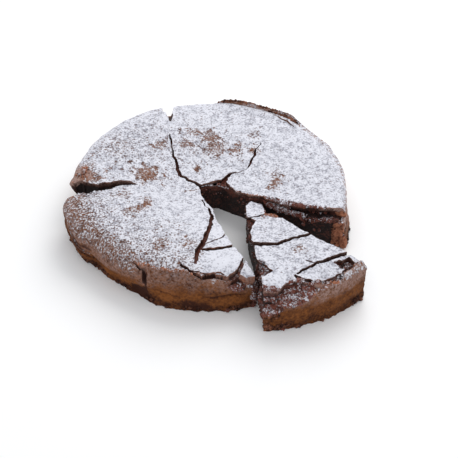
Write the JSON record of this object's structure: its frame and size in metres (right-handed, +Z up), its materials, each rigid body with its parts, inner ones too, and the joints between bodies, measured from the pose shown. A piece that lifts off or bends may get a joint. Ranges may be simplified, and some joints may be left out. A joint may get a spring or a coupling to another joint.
{
  "type": "flourless chocolate tart",
  "caption": "Low round flourless chocolate tart with a cracked, sugar-dusted crust, one wedge cut and slid part of the way out of its place.",
  "frame": {"origin": "centre of the base of the outline's box, on the surface that the tart rests on", "axes": "+Z up, +Y to the back of the tart and -Y to the side where the wedge slid out, +X to the right"},
  "size_m": [0.2464, 0.2602, 0.0443],
  "materials": {
    "sugared_crust": "dry cracked chocolate crust dusted with icing sugar, dark moist crumb where it is cut",
    "sugared_crust_wedge": "dry cracked chocolate crust dusted with icing sugar, dark moist crumb where it is cut",
    "chocolate_crumb": "moist dark chocolate crumb, rough and matt",
    "baked_wall": "tan-brown baked side crust, matt, dusted near its top"
  },
  "bodies": {
    "root": {"tart_round": "sugared_crust", "cut_wedge": "sugared_crust_wedge"}
  },
  "joints": []
}
